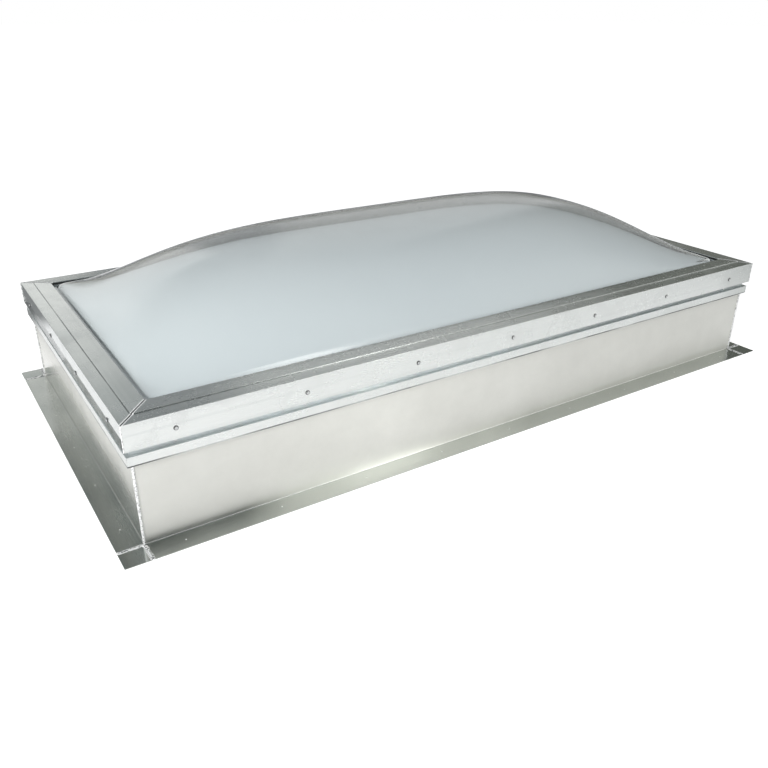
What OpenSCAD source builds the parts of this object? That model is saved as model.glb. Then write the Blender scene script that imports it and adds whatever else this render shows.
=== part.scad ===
// Roof skylight: two blown acrylic domes in a mitred aluminium frame on a welded, self-flashing sheet curb.
// Millimetres, Z up, origin at the centre of the curb on the roof deck, X along the long side, front at -Y.

/* [Curb] */
// outer length of the curb walls
curb_l = 2438; // [1400:1:3000]
// outer width of the curb walls
curb_w = 1219; // [800:1:1600]
// width of the flange that lies on the roof
flange_w = 73; // [55:1:110]
// thickness of the curb sheet
sheet_t = 2; // [1.5:0.1:3]
// inside radius of the fold between flange and wall
bend_r = 3; // [2:0.5:5]
// width of the shelf the glazing lies on, from the wall face inward
shelf_in = 74; // [72:1:84]
// drop of the condensation gutter below the shelf
gutter_drop = 24; // [16:1:34]
// clear width of the condensation gutter
gutter_w = 22; // [14:1:32]
// height of the lip of the condensation gutter
lip_h = 14; // [8:1:16]

/* [Frame] */
// height of the lower edge of the drip band above the roof
band_z = 248; // [200:1:300]
// height of the drip band
band_h = 28; // [22:1:36]
// reach of the drip band beyond the wall
band_out = 15; // [11:0.5:16]
// wall thickness of the frame extrusion
frame_t = 2.5; // [2:0.1:3]

/* [Retainer] */
// open gap between the drip band and the retainer skirt
skirt_gap = 17; // [14:1:24]
// height of the retainer skirt
skirt_h = 76; // [70:1:90]
// reach of the retainer skirt beyond the wall
skirt_out = 18; // [17:0.5:24]
// thickness of the retainer extrusion
retainer_t = 2.5; // [2:0.1:3]
// width of the lower outer strip on top of the retainer
strip_w = 38; // [34:1:40]
// width of the raised inner strip on top of the retainer
clamp_w = 50; // [46:1:52]
// rise of the step between the two strips
step_h = 2.5; // [2:0.5:4]
// slope of both strips, rise per unit of width towards the glazing
shed = 0.07; // [0.02:0.01:0.12]
// radius of the outer edges of the retainer extrusion
edge_r = 1; // [0.5:0.1:1.2]
// open joint left on each side of a retainer mitre
mitre_gap = 1.2; // [0.3:0.1:1.4]
// width of the filed edge along a retainer mitre
filed_w = 2.6; // [1:0.1:4]
// depth of the filed edge along a retainer mitre
filed_d = 1.2; // [0.5:0.1:1.8]

/* [Glazing] */
// thickness of the clear outer dome
outer_t = 4.8; // [3.5:0.1:5.5]
// thickness of the white inner dome
inner_t = 3.2; // [2.5:0.1:4.5]
// rise of the outer dome above its rim
outer_rise = 240; // [215:1:320]
// rise of the inner dome above its rim
inner_rise = 198; // [150:1:230]
// fullness of the domes along the long side
full_l = 4; // [2.5:0.1:5]
// fullness of the domes along the short side
full_w = 2.4; // [2:0.1:3.2]
// softness of the turn from the flat rim into the dome
rim_soft = 0.012; // [0.005:0.001:0.03]
// width of the flat rim that shows inside the retainer
rim_show = 8; // [4:1:14]
// height of the turned-up edge at the foot of the domes
turn_h = 9; // [4:1:14]
// run over which the edge turns up
turn_w = 9; // [6:1:14]
// corner radius at the foot of the domes
base_r = 40; // [25:1:60]
// thickness of the bedding gasket under the inner dome
bed_t = 3; // [2:0.5:4]
// thickness of the clamp gasket at its outer edge
clamp_t = 4; // [2:0.5:5]
// thickness of the spacer gasket between the two rims
spacer_t = 10; // [6:0.5:14]
// width of the flat rim held between the gaskets
rim_w = 44; // [38:1:45]

/* [Welds] */
// width of the weld beads on the flange
bead_w = 13; // [8:0.5:16]
// height of the weld beads on the flange
bead_h = 2.8; // [1.5:0.1:4]
// radius of the upright weld on the curb corners
seam_r = 4.5; // [3:0.1:6]
// radius of the fine weld on the retainer corners
fine_r = 2.2; // [1.5:0.1:3]

/* [Fixings] */
// retainer screws on a long side
screws_l = 7; // [4:1:9]
// retainer screws on a short side
screws_w = 4; // [2:1:6]
// distance of the end screws from the wall corner
screw_end = 115; // [80:1:150]
// radius of the screw shanks
screw_r = 2.4; // [2:0.1:3]
// radius of the screw heads
head_r = 4.6; // [3.8:0.1:5.5]
// height of the screw heads
head_h = 2.6; // [2:0.1:4]
// radius of the sealing washers
washer_r = 6.4; // [5.6:0.1:8]
// thickness of the sealing washers
washer_t = 1.2; // [0.8:0.1:2]
// radius of the rivet shanks
rivet_r = 2.4; // [1.6:0.1:2.6]
// radius of the rivet heads
rivet_head_r = 4.8; // [3.5:0.1:5.5]
// height of the rivet heads
rivet_head_h = 1.5; // [1:0.1:2.5]
// height of the rivets above the ledge
rivet_up = 6.5; // [6:0.5:8]
// height of the screws above the lower edge of the skirt
screw_up = 32; // [26:1:38]
// roof fixing holes on a long flange
holes_l = 9; // [4:1:12]
// roof fixing holes on a short flange
holes_w = 5; // [2:1:7]
// radius of the roof fixing holes
hole_r = 2.5; // [2:0.1:4]
// distance of the end holes from the wall corner
hole_end = 99; // [60:1:140]

/* [Hidden] */
$fn = 48;
half_l = curb_l / 2;
half_w = curb_w / 2;
// gap between pieces that meet at a mitre or a cut edge
joint = 0.2;
// clearance of a pin in its hole
slack = 0.1;
// overrun of a cut past the surface it leaves
over = 1;
// free edge of a piece that stops short of its neighbour
clear = 1;
ledge_z = band_z + band_h;
skirt_z = ledge_z + skirt_gap;
strip_z = skirt_z + skirt_h;
clamp_z = strip_z + shed * strip_w + step_h;
clamp_rise = shed * clamp_w;
screw_z = skirt_z + screw_up;
rivet_z = ledge_z + rivet_up;
skirt_in = skirt_out - retainer_t;
step_o = skirt_out - strip_w;
clamp_o = step_o - clamp_w;
rim_o = clamp_o + rim_w;
outer_top = under_z(rim_o) - clamp_t;
shelf_z = outer_top - outer_t - spacer_t - inner_t - bed_t;
inner_top = shelf_z + bed_t + inner_t;
gutter_z = shelf_z - gutter_drop;
gutter_o = shelf_in + gutter_w;
reach = gutter_o + flange_w;
rib_h = 8 * frame_t;
top_in = 2 * (retainer_t + clear);
slot_l = 1.1 * head_r;
slot_w = 0.22 * head_r;
slot_d = 0.45 * head_h;
cells_l = 38;
cells_w = 24;

ALU = [0.80, 0.81, 0.79];
EXTRUSION = [0.84, 0.86, 0.85];
BEAD = [0.88, 0.89, 0.88];
STEEL = [0.72, 0.73, 0.74];
RUBBER = [0.07, 0.07, 0.07];
FOAM = [0.74, 0.76, 0.76];
CLEAR = [0.82, 0.88, 0.90, 0.35];
WHITE = [0.86, 0.90, 0.92];

// top of the lower outer strip, and of the raised inner strip, at a reach from the wall face
function low_z(o) = strip_z + shed * (skirt_out - o);
function high_z(o) = low_z(o) + step_h;

// underside of the raised inner strip at a reach from the wall face
function under_z(o) = high_z(o) - retainer_t;

// rounded edge of the retainer section, a quarter turn from a start angle
function round_edge(o, z, start) =
  [for (k = [0 : 3]) [o + edge_r * cos(start + 30 * k), z - edge_r + edge_r * sin(start + 30 * k)]];

// position of one of a row of fixings
function spot(i, n, half, end) = -half + end + i * (2 * half - 2 * end) / (n - 1);

// share of the dome rise at a place given as fractions of its half sizes
function billow(u, v) = let(t = (1 - pow(abs(u), full_l)) * (1 - pow(abs(v), full_w)))
  (sqrt(t * t + rim_soft * rim_soft) - rim_soft) / (sqrt(1 + rim_soft * rim_soft) - rim_soft);

// distance inside the rounded foot line of a dome with half sizes a and b
function inset(x, y, a, b) = let(qx = abs(x) - a + base_r, qy = abs(y) - b + base_r)
  base_r - (qx > 0 && qy > 0 ? sqrt(qx * qx + qy * qy) : max(qx, qy));

// height of a dome above its flat rim
function dome_h(x, y, a, b, rise) = let(d = inset(x, y, a, b))
  d <= 0 ? 0 : turn_h * (1 - exp(-pow(d / turn_w, 2))) + (rise - turn_h) * billow(x / a, y / b);

// grid line i of n, close together near the rim and flat outside it
function line_at(i, n, half, rim) =
  i == 0 ? -half - rim : i == n ? half + rim : -half * cos(180 * (i - 1) / (n - 2));

// turn a back-side shape to one of the four sides
module front_side() {
  rotate([0, 0, 180]) children();
}

module left_side() {
  rotate([0, 0, 90]) children();
}

module right_side() {
  rotate([0, 0, -90]) children();
}

// a profile drawn as reach and height, run along the back side between two mitres
module mitred(half, face, gap) {
  intersection() {
    translate([0, face, 0])
      rotate([90, 0, 90])
        linear_extrude(height = 2 * (half + reach), center = true) children();
    translate([0, 0, -over])
      linear_extrude(height = clamp_z + clamp_rise + 2 * over)
        polygon([
          [-half + reach + gap, face - reach], [half - reach - gap, face - reach],
          [half + reach - gap, face + reach], [-half - reach + gap, face + reach]
        ]);
  }
}

// fixings spread along the back side
module row(n, half, end) {
  for (i = [0 : n - 1])
    translate([spot(i, n, half, end), 0, 0]) children();
}

// a round pin pointing outward from the back side
module pin(face, o, z, r, h) {
  translate([0, face + o, z])
    rotate([-90, 0, 0])
      cylinder(r = r, h = h);
}

// folded section of the curb: flange, fold, wall, glazing shelf and condensation gutter
module curb_section() {
  translate([bend_r, 0]) square([flange_w - bend_r, sheet_t]);
  intersection() {
    translate([bend_r, sheet_t + bend_r])
      difference() {
        circle(r = bend_r + sheet_t);
        circle(r = bend_r);
      }
    translate([-sheet_t, 0]) square([bend_r + sheet_t, bend_r + sheet_t]);
  }
  translate([-sheet_t, sheet_t + bend_r]) square([sheet_t, shelf_z - sheet_t - bend_r]);
  translate([-shelf_in, shelf_z - sheet_t]) square([shelf_in, sheet_t]);
  translate([-shelf_in, gutter_z]) square([sheet_t, gutter_drop]);
  translate([-gutter_o, gutter_z]) square([gutter_w + sheet_t, sheet_t]);
  translate([-gutter_o, gutter_z]) square([sheet_t, lip_h]);
}

// one curb side, the wall mitred and the flange cut square for the corner plates
module curb_side(half, face, n_hole, n_screw) {
  difference() {
    intersection() {
      translate([0, face, 0])
        rotate([90, 0, 90])
          linear_extrude(height = 2 * half, center = true) curb_section();
      translate([0, 0, -over])
        linear_extrude(height = strip_z)
          polygon([
            [-half + reach + joint, face - reach], [half - reach - joint, face - reach],
            [half - joint, face], [half - joint, face + reach],
            [-half + joint, face + reach], [-half + joint, face]
          ]);
    }
    row(n_hole, half, hole_end)
      translate([0, face + flange_w / 2, -over])
        cylinder(r = hole_r, h = sheet_t + 2 * over);
    row(n_screw, half, screw_end)
      pin(face, -sheet_t - over, rivet_z, rivet_r + slack, sheet_t + 2 * over);
  }
}

module curb_wall_front() {
  color(ALU) front_side() curb_side(half_l, half_w, holes_l, screws_l);
}

module curb_wall_back() {
  color(ALU) curb_side(half_l, half_w, holes_l, screws_l);
}

module curb_wall_left() {
  color(ALU) left_side() curb_side(half_w, half_l, holes_w, screws_w);
}

module curb_wall_right() {
  color(ALU) right_side() curb_side(half_w, half_l, holes_w, screws_w);
}

// square plate closing the flange at one corner
module flange_corner(sx, sy) {
  side = flange_w - joint;
  translate([sx * (half_l + joint + side / 2), sy * (half_w + joint + side / 2), sheet_t / 2])
    cube([side, side, sheet_t], center = true);
}

module flange_corner_front_left() {
  color(ALU) flange_corner(-1, -1);
}

module flange_corner_front_right() {
  color(ALU) flange_corner(1, -1);
}

module flange_corner_back_left() {
  color(ALU) flange_corner(-1, 1);
}

module flange_corner_back_right() {
  color(ALU) flange_corner(1, 1);
}

// one flat bead lying on the flange, run along X from the curb corner
module flange_bead() {
  r = (bead_w * bead_w / 4 + bead_h * bead_h) / (2 * bead_h);
  start = bend_r + joint;
  intersection() {
    translate([start, 0, sheet_t + bead_h - r])
      rotate([0, 90, 0])
        cylinder(r = r, h = flange_w - start);
    translate([0, -bead_w, sheet_t])
      cube([flange_w, 2 * bead_w, 2 * bead_h]);
  }
}

// upright seam and the two flange beads of the back right corner
module corner_weld() {
  foot = sheet_t + bend_r + joint;
  foot_r = seam_r + bend_r;
  difference() {
    translate([0, 0, foot]) cylinder(r = seam_r, h = ledge_z - frame_t - foot);
    translate([-2 * seam_r, -2 * seam_r, 0]) cube([2 * seam_r, 2 * seam_r, ledge_z]);
  }
  intersection() {
    translate([0, 0, sheet_t]) cylinder(r = foot_r, h = foot - sheet_t);
    translate([joint, joint, 0]) cube([foot_r, foot_r, foot]);
  }
  flange_bead();
  rotate([0, 0, 90]) flange_bead();
}

module corner_weld_front_left() {
  color(BEAD) translate([-half_l, -half_w, 0]) rotate([0, 0, 180]) corner_weld();
}

module corner_weld_front_right() {
  color(BEAD) translate([half_l, -half_w, 0]) rotate([0, 0, -90]) corner_weld();
}

module corner_weld_back_left() {
  color(BEAD) translate([-half_l, half_w, 0]) rotate([0, 0, 90]) corner_weld();
}

module corner_weld_back_right() {
  color(BEAD) translate([half_l, half_w, 0]) corner_weld();
}

// section of the frame extrusion: drip band, ledge, web, hollow screw rib and sloped top flange
module frame_section() {
  rib = skirt_in - frame_t;
  o_a = step_o + top_in;
  o_b = skirt_in - clear;
  top_a = low_z(o_a) - retainer_t;
  top_b = low_z(o_b) - retainer_t;
  translate([band_out - frame_t, band_z]) square([frame_t, band_h]);
  translate([0, ledge_z - frame_t]) square([band_out, frame_t]);
  translate([0, ledge_z - frame_t]) square([frame_t, strip_z - retainer_t - ledge_z + frame_t]);
  difference() {
    translate([0, screw_z - rib_h / 2]) square([frame_t + rib, rib_h]);
    translate([frame_t, screw_z - rib_h / 2 + frame_t])
      square([rib - frame_t, rib_h - 2 * frame_t]);
  }
  polygon([[o_a, top_a - frame_t], [o_b, top_b - frame_t], [o_b, top_b], [o_a, top_a]]);
}

module frame_side(half, face, n_screw) {
  difference() {
    mitred(half, face, joint) frame_section();
    row(n_screw, half, screw_end) {
      pin(face, skirt_in - frame_t - over, screw_z, screw_r + slack, frame_t + 2 * over);
      pin(face, -over, rivet_z, rivet_r + slack, frame_t + 2 * over);
    }
  }
}

module frame_rail_front() {
  color(EXTRUSION) front_side() frame_side(half_l, half_w, screws_l);
}

module frame_rail_back() {
  color(EXTRUSION) frame_side(half_l, half_w, screws_l);
}

module frame_rail_left() {
  color(EXTRUSION) left_side() frame_side(half_w, half_l, screws_w);
}

module frame_rail_right() {
  color(EXTRUSION) right_side() frame_side(half_w, half_l, screws_w);
}

// blind rivets through the frame web and the curb wall
module rivets(half, face, n) {
  tail_r = 1.4 * rivet_r;
  tail_h = 1.6 * rivet_r;
  row(n, half, screw_end) {
    pin(face, -sheet_t - tail_h, rivet_z, tail_r, tail_h);
    pin(face, -sheet_t - tail_h / 2, rivet_z, rivet_r, sheet_t + frame_t + (tail_h + rivet_head_h) / 2);
    pin(face, frame_t, rivet_z, rivet_head_r, rivet_head_h);
  }
}

module frame_rivets_front() {
  color(STEEL) front_side() rivets(half_l, half_w, screws_l);
}

module frame_rivets_back() {
  color(STEEL) rivets(half_l, half_w, screws_l);
}

module frame_rivets_left() {
  color(STEEL) left_side() rivets(half_w, half_l, screws_w);
}

module frame_rivets_right() {
  color(STEEL) right_side() rivets(half_w, half_l, screws_w);
}

// flat rectangular ring between two reaches from the wall face
module ring(o_out, o_in, z, h) {
  translate([0, 0, z])
    linear_extrude(height = h)
      difference() {
        square([curb_l + 2 * o_out, curb_w + 2 * o_out], center = true);
        square([curb_l + 2 * o_in, curb_w + 2 * o_in], center = true);
      }
}

module bedding_gasket() {
  color(RUBBER) ring(rim_o - clear, clamp_o + clear, shelf_z, bed_t);
}

module spacer_gasket() {
  color(FOAM) ring(rim_o - clear, clamp_o + clear, inner_top, spacer_t);
}

module clamp_gasket() {
  o_a = rim_o - clear;
  o_b = clamp_o + clear;
  profile = [[o_a, outer_top], [o_a, under_z(o_a)], [o_b, under_z(o_b)], [o_b, outer_top]];
  color(RUBBER) {
    mitred(half_l, half_w, 0) polygon(profile);
    front_side() mitred(half_l, half_w, 0) polygon(profile);
    left_side() mitred(half_w, half_l, 0) polygon(profile);
    right_side() mitred(half_w, half_l, 0) polygon(profile);
  }
}

// a blown sheet with a flat rim: upper face, lower face and the cut edge all round
module dome(top, rise, thick) {
  a = half_l + clamp_o - rim_show;
  b = half_w + clamp_o - rim_show;
  rim = rim_w + rim_show;
  row_n = cells_l + 1;
  all_n = row_n * (cells_w + 1);
  xs = [for (i = [0 : cells_l]) line_at(i, cells_l, a, rim)];
  ys = [for (j = [0 : cells_w]) line_at(j, cells_w, b, rim)];
  high = [for (y = ys) [for (x = xs) dome_h(x, y, a, b, rise)]];
  upper = [for (j = [0 : cells_w]) for (i = [0 : cells_l]) [xs[i], ys[j], top + high[j][i]]];
  lower = [for (p = upper) [p[0], p[1], p[2] - thick]];
  skin = [for (j = [0 : cells_w - 1]) for (i = [0 : cells_l - 1]) let(k = j * row_n + i)
    [[k, k + row_n, k + 1], [k + 1, k + row_n, k + row_n + 1]]];
  faces_up = [for (pair = skin) for (f = pair) f];
  faces_low = [for (f = faces_up) [f[2] + all_n, f[1] + all_n, f[0] + all_n]];
  loop = concat(
    [for (i = [0 : cells_l - 1]) i],
    [for (j = [0 : cells_w - 1]) j * row_n + cells_l],
    [for (i = [0 : cells_l - 1]) cells_w * row_n + cells_l - i],
    [for (j = [0 : cells_w - 1]) (cells_w - j) * row_n]
  );
  edge = [for (k = [0 : len(loop) - 1]) let(p = loop[k], q = loop[(k + 1) % len(loop)])
    [[p, q, p + all_n], [q, q + all_n, p + all_n]]];
  faces_edge = [for (pair = edge) for (f = pair) f];
  polyhedron(points = concat(upper, lower), faces = concat(faces_up, faces_low, faces_edge));
}

module inner_dome() {
  color(WHITE) dome(inner_top, inner_rise, inner_t);
}

module outer_dome() {
  color(CLEAR) dome(outer_top, outer_rise, outer_t);
}

// section of the retainer: skirt, lower outer strip, step and raised inner strip, all with rounded edges
module retainer_section() {
  in_o = step_o - retainer_t;
  lip_a = skirt_out - edge_r;
  lip_b = step_o - edge_r;
  lip_c = clamp_o + edge_r;
  polygon(concat(
    [[skirt_out, skirt_z]],
    round_edge(lip_a, low_z(lip_a), 0),
    [[step_o, low_z(step_o)]],
    round_edge(lip_b, high_z(lip_b), 0),
    round_edge(lip_c, high_z(lip_c), 90),
    [[clamp_o, under_z(clamp_o)], [in_o, under_z(in_o)]],
    [[in_o, low_z(in_o) - retainer_t], [skirt_in, low_z(skirt_in) - retainer_t]],
    [[skirt_in, skirt_z]]
  ));
}

// shallow V filed along a mitre line, outward from a reach and height, falling as it goes
module vee(half, face, o, z, length, fall) {
  wide = mitre_gap + filed_w;
  translate([half + o, face + o, z])
    rotate([90 + atan(fall / length), 0, 135])
      linear_extrude(height = length)
        polygon([[-wide, 0], [-wide, step_h / 2], [wide, step_h / 2], [wide, 0], [0, -filed_d]]);
}

// filed edges of the two strips at the right end of a back retainer
module filed_mitre(half, face) {
  wide = mitre_gap + filed_w;
  low = strip_w - wide;
  high = clamp_w + wide;
  vee(half, face, step_o + wide, low_z(step_o + wide), sqrt(2) * low, shed * low);
  vee(half, face, step_o - high, high_z(step_o - high), sqrt(2) * high, shed * high);
}

module retainer_side(half, face, n_screw) {
  difference() {
    mitred(half, face, mitre_gap) retainer_section();
    filed_mitre(half, face);
    mirror([1, 0, 0]) filed_mitre(half, face);
    row(n_screw, half, screw_end)
      pin(face, skirt_in - over, screw_z, screw_r + 4 * slack, retainer_t + 2 * over);
  }
}

module retainer_front() {
  color(EXTRUSION) front_side() retainer_side(half_l, half_w, screws_l);
}

module retainer_back() {
  color(EXTRUSION) retainer_side(half_l, half_w, screws_l);
}

module retainer_left() {
  color(EXTRUSION) left_side() retainer_side(half_w, half_l, screws_w);
}

module retainer_right() {
  color(EXTRUSION) right_side() retainer_side(half_w, half_l, screws_w);
}

// fine weld closing the mitre of the skirt at one corner
module retainer_weld(sx, sy) {
  translate([sx * (half_l + skirt_out), sy * (half_w + skirt_out), skirt_z])
    difference() {
      cylinder(r = fine_r, h = skirt_h);
      translate([-sx * 2 * fine_r, -sy * 2 * fine_r, skirt_h / 2])
        cube([4 * fine_r, 4 * fine_r, skirt_h + 2 * over], center = true);
    }
}

module retainer_weld_front_left() {
  color(BEAD) retainer_weld(-1, -1);
}

module retainer_weld_front_right() {
  color(BEAD) retainer_weld(1, -1);
}

module retainer_weld_back_left() {
  color(BEAD) retainer_weld(-1, 1);
}

module retainer_weld_back_right() {
  color(BEAD) retainer_weld(1, 1);
}

// sealing washers under the screw heads
module washers(half, face, n) {
  row(n, half, screw_end)
    difference() {
      pin(face, skirt_out, screw_z, washer_r, washer_t);
      pin(face, skirt_out - over, screw_z, screw_r + slack, washer_t + 2 * over);
    }
}

module retainer_washers_front() {
  color(RUBBER) front_side() washers(half_l, half_w, screws_l);
}

module retainer_washers_back() {
  color(RUBBER) washers(half_l, half_w, screws_l);
}

module retainer_washers_left() {
  color(RUBBER) left_side() washers(half_w, half_l, screws_w);
}

module retainer_washers_right() {
  color(RUBBER) right_side() washers(half_w, half_l, screws_w);
}

// pan head screws driven through the skirt into the hollow rib of the frame
module screws(half, face, n) {
  tip = 2 * frame_t;
  crown = skirt_out + washer_t + head_h;
  row(n, half, screw_end)
    difference() {
      union() {
        pin(face, tip, screw_z, screw_r, skirt_out + washer_t - tip + head_h / 2);
        pin(face, skirt_out + washer_t, screw_z, head_r, head_h);
      }
      translate([0, face + crown, screw_z])
        cube([slot_l, 2 * slot_d, slot_w], center = true);
      translate([0, face + crown, screw_z])
        cube([slot_w, 2 * slot_d, slot_l], center = true);
    }
}

module retainer_screws_front() {
  color(STEEL) front_side() screws(half_l, half_w, screws_l);
}

module retainer_screws_back() {
  color(STEEL) screws(half_l, half_w, screws_l);
}

module retainer_screws_left() {
  color(STEEL) left_side() screws(half_w, half_l, screws_w);
}

module retainer_screws_right() {
  color(STEEL) right_side() screws(half_w, half_l, screws_w);
}

curb_wall_front();
curb_wall_back();
curb_wall_left();
curb_wall_right();
flange_corner_front_left();
flange_corner_front_right();
flange_corner_back_left();
flange_corner_back_right();
corner_weld_front_left();
corner_weld_front_right();
corner_weld_back_left();
corner_weld_back_right();
frame_rail_front();
frame_rail_back();
frame_rail_left();
frame_rail_right();
frame_rivets_front();
frame_rivets_back();
frame_rivets_left();
frame_rivets_right();
bedding_gasket();
inner_dome();
spacer_gasket();
outer_dome();
clamp_gasket();
retainer_front();
retainer_back();
retainer_left();
retainer_right();
retainer_weld_front_left();
retainer_weld_front_right();
retainer_weld_back_left();
retainer_weld_back_right();
retainer_washers_front();
retainer_washers_back();
retainer_washers_left();
retainer_washers_right();
retainer_screws_front();
retainer_screws_back();
retainer_screws_left();
retainer_screws_right();
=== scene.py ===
import math

import bpy
import numpy as np
from mathutils import Matrix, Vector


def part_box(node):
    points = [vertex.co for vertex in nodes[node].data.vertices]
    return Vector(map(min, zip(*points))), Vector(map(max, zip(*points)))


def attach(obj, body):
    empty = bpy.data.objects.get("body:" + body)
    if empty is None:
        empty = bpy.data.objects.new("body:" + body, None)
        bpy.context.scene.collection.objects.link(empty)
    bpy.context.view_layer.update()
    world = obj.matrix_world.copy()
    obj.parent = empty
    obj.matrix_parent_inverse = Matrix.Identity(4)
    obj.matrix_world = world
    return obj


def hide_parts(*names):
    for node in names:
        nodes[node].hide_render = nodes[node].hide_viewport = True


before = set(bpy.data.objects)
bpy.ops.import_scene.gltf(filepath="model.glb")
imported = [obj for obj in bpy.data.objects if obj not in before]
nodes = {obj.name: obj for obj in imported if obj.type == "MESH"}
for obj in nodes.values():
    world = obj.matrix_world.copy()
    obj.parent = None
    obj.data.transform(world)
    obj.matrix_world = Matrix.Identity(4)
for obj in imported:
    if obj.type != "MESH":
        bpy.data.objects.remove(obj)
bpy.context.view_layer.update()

MM = 0.001

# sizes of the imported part, in metres
HALF_L = 2438 * MM / 2
HALF_W = 1219 * MM / 2
SHEET_T = 2 * MM
BEND_R = 3 * MM
FLANGE_W = 73 * MM
JOINT = 0.2 * MM
BAND_Z = 248 * MM
LEDGE_Z = 276 * MM
FRAME_T = 2.5 * MM
SKIRT_Z = 293 * MM
SKIRT_H = 76 * MM
SKIRT_OUT = 18 * MM
STRIP_Z = SKIRT_Z + SKIRT_H
STEP_OUT = SKIRT_OUT - 38 * MM
RIM_W = 52 * MM
TURN_H = 9 * MM
TURN_W = 9 * MM
BASE_R = 40 * MM
OUTER_T = 4.8 * MM
INNER_T = 3.2 * MM
BEAD_H = 2.8 * MM
SEAM_R = 4.5 * MM
FINE_R = 2.2 * MM
SCREW_END = 115 * MM
SCREW_Z = 325 * MM
RIVET_Z = 282.5 * MM
SCREWS_L = 7
SCREWS_W = 4

# fullness of the domes along and across, and how softly the billow leaves the rim
FULL_L = 4.0
FULL_W = 2.4
RIM_SOFT = 0.012

# weld beads with the toes of their ripples, the pitch of the ripples, and the lump where three beads meet
BEAD_W = 14.5 * MM
BEAD_PITCH = 5.2 * MM
SEAM_PITCH = 4.2 * MM
FINE_PITCH = 2.6 * MM
MOUND_R = 6.5 * MM
MOUND_H = 3.4 * MM
MOUND_OFF = 3.4 * MM
WELD_SHARP = 60

# added to the number of a corner, so that each of its beads is uneven in its own way
ACROSS_SEED = 11
SEAM_SEED = 23
FINE_SEED = 37

# turned profiles of the fixings: radius and distance out from the curb wall, in millimetres
HEAD_BASE = 19.2
HEAD_R = 4.6
HEAD_H = 2.6
SCREW_SHANK = [(0.0, 4.8), (1.6, 5.0), (2.4, 6.2), (2.4, HEAD_BASE), (HEAD_R, HEAD_BASE)]
WASHER_RING = [(2.5, 18.0), (6.1, 18.0), (6.55, 18.3), (6.5, 18.8), (6.0, 19.2), (2.5, 19.2), (2.5, 18.0)]
RIVET_BODY = [
    (0.0, -6.0), (2.2, -5.8), (3.4, -4.6), (3.4, -2.6), (2.4, -2.0), (2.4, 2.5), (4.8, 2.5),
    (4.7, 2.9), (4.1, 3.45), (3.0, 3.85), (1.9, 4.0), (1.5, 3.9), (1.35, 3.2), (0.0, 3.2),
]
FIXING_TURN = 2.4

# inner and outer limits of the soft edges of a mitre: the painted shade of its slot and the painted
# highlights of its lips
MITRE_SHADE_EDGE = (2.4 * MM, 3.2 * MM)
MITRE_HIGHLIGHT_EDGE = (6.6 * MM, 7.6 * MM)

ACRYLIC_IOR = 1.49

# direction of the corner, and the turn that brings a corner at +x, +y there
CORNERS = {
    "front_left": (-1, -1, 180),
    "front_right": (1, -1, -90),
    "back_left": (-1, 1, 90),
    "back_right": (1, 1, 0),
}

# outward direction, direction along the side, half length, half depth and screw count
SIDES = {
    "front": ((0, -1), (1, 0), HALF_L, HALF_W, SCREWS_L),
    "back": ((0, 1), (-1, 0), HALF_L, HALF_W, SCREWS_L),
    "left": ((-1, 0), (0, -1), HALF_W, HALF_L, SCREWS_W),
    "right": ((1, 0), (0, 1), HALF_W, HALF_L, SCREWS_W),
}


class Nodes:
    """A node tree, with short calls that add nodes and link or set their sockets."""

    def __init__(self, tree):
        self.tree = tree

    def feed(self, socket, value):
        if isinstance(value, bpy.types.NodeSocket):
            self.tree.links.new(value, socket)
        else:
            socket.default_value = value

    def node(self, kind, settings=None, **inputs):
        """A new node; an input goes by its name, with _ for a space, or by its place, as _0 or _1."""
        made = self.tree.nodes.new(kind)
        for key, value in (settings or {}).items():
            setattr(made, key, value)
        for key, value in inputs.items():
            place = int(key[1:]) if key[1:].isdigit() else key.replace("_", " ")
            self.feed(made.inputs[place], value)
        return made

    def math(self, operation, *values):
        made = self.node("ShaderNodeMath", {"operation": operation})
        for socket, value in zip(made.inputs, values):
            self.feed(socket, value)
        return made.outputs[0]

    def remap(self, value, low, high, to_low=0.0, to_high=1.0, shape="LINEAR"):
        made = self.node(
            "ShaderNodeMapRange", {"interpolation_type": shape}, Value=value,
            From_Min=low, From_Max=high, To_Min=to_low, To_Max=to_high,
        )
        return made.outputs[0]

    def ramp(self, value, stops, shape="LINEAR"):
        made = self.node("ShaderNodeValToRGB", Fac=value)
        made.color_ramp.interpolation = shape
        while len(made.color_ramp.elements) < len(stops):
            made.color_ramp.elements.new(0.5)
        for element, (place, shade) in zip(made.color_ramp.elements, stops):
            element.position = place
            element.color = (*shade, 1)
        return made.outputs[0]

    def mix(self, factor, a, b):
        return self.node("ShaderNodeMix", {"data_type": "RGBA"}, _0=factor, _6=a, _7=b).outputs[2]


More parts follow.
